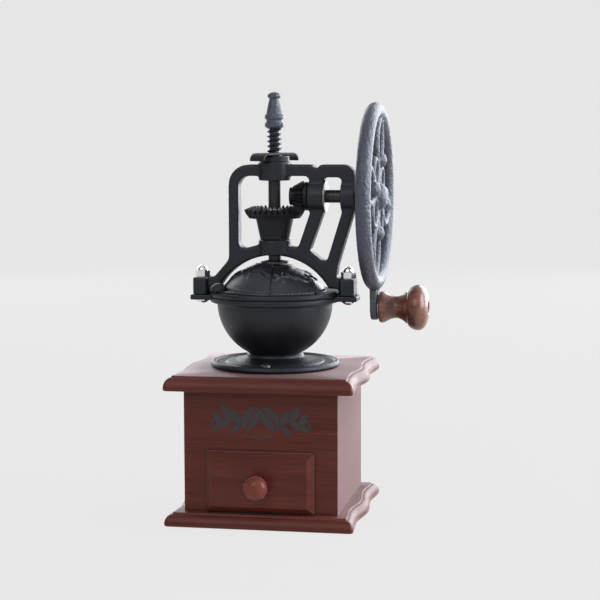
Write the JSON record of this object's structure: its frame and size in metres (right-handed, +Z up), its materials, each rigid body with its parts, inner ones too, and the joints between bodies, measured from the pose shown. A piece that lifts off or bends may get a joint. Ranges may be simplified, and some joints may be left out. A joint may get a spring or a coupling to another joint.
{
  "type": "hand coffee grinder",
  "caption": "Table-top hand coffee mill: hand wheel and bevel gears turn a conical burr in a cast-iron hopper above a wooden box with a drawer.",
  "frame": {"origin": "centre of the base plate's underside", "axes": "+Z up, -Y out of the drawer's front, +X towards the hand wheel"},
  "size_m": [0.1875, 0.152, 0.3164],
  "materials": {
    "mahogany": "stained and varnished, semi-gloss",
    "knob_wood": "turned, stained and varnished",
    "pale_wood": "plain sanded",
    "handle_wood": "turned and varnished",
    "cast_iron": "satin black enamel over sand-cast iron",
    "wheel_iron": "satin grey-black enamel, pebbled casting",
    "bright_steel": "bright plated",
    "steel": "machined",
    "shaft_steel": "blackened steel",
    "bronze": "sintered bronze"
  },
  "bodies": {
    "root": {"base_plate": "mahogany", "top_plate": "mahogany", "box_front": "mahogany", "box_rear": "mahogany", "box_left": "mahogany", "box_right": "mahogany", "base_screws": "steel", "foot_flange": "cast_iron", "foot_screws": "steel", "bowl": "cast_iron", "burr_ring": "steel", "bearing_spider": "cast_iron", "lid_ring": "cast_iron", "lid_dome": "cast_iron", "lid_rivet": "cast_iron", "bridge_frame": "cast_iron", "ear_screws": "bright_steel", "ear_nuts": "bright_steel", "top_bush": "bronze", "lower_bush": "bronze", "inner_bush": "steel", "outer_bush": "bronze", "lock_washer": "cast_iron", "lift_spring": "steel"},
    "drawer": {"drawer_front": "mahogany", "drawer_left": "pale_wood", "drawer_right": "pale_wood", "drawer_back": "pale_wood", "drawer_bottom": "pale_wood", "drawer_knob": "knob_wood", "knob_screw": "steel"},
    "lid_door": {"lid_door": "cast_iron", "lid_knob": "cast_iron"},
    "adjuster": {"adjust_screw": "cast_iron", "finial": "wheel_iron", "thrust_ball": "steel"},
    "lock_strip": {"lock_plate": "cast_iron"},
    "grinder": {"main_shaft": "shaft_steel", "bevel_gear": "cast_iron", "gear_pin": "steel", "burr_cone": "steel", "burr_nut": "steel"},
    "hand_wheel": {"wheel": "wheel_iron", "wheel_shaft": "shaft_steel", "wheel_pin": "steel", "bevel_pinion": "cast_iron", "pinion_pin": "steel", "crank_spindle": "steel", "crank_washer": "steel", "crank_cap": "cast_iron"},
    "grip": {"crank_handle": "handle_wood"}
  },
  "joints": [
    {"name": "drawer_slide", "type": "slide", "parent": "root", "child": "drawer", "axis": [0, -1, 0], "range_m": [0, 0.08]},
    {"name": "lid_turn", "type": "hinge", "parent": "root", "child": "lid_door", "pos_m": [0, 0, 0.169], "axis": [0, 0, 1], "range_deg": [0, 80]},
    {"name": "lock_turn", "type": "hinge", "parent": "root", "child": "lock_strip", "pos_m": [0, 0, 0.27], "axis": [0, 0, 1], "range_deg": [0, 90]},
    {"name": "screw_turn", "type": "hinge", "parent": "root", "child": "adjuster", "pos_m": [0, 0, 0.3], "axis": [0, 0, 1], "range_deg": [0, 85]},
    {"name": "wheel_spin", "type": "hinge", "parent": "root", "child": "hand_wheel", "pos_m": [0, 0, 0.239], "axis": [1, 0, 0], "continuous": true},
    {"name": "grinder_spin", "type": "hinge", "parent": "root", "child": "grinder", "pos_m": [0, 0, 0.2], "axis": [0, 0, 1], "continuous": true},
    {"name": "grip_spin", "type": "hinge", "parent": "hand_wheel", "child": "grip", "pos_m": [0.095, 0, 0.1568], "axis": [1, 0, 0], "continuous": true}
  ],
  "couplings": [
    {"joint": "grinder_spin", "follows": "wheel_spin", "ratio": 0.46667}
  ]
}
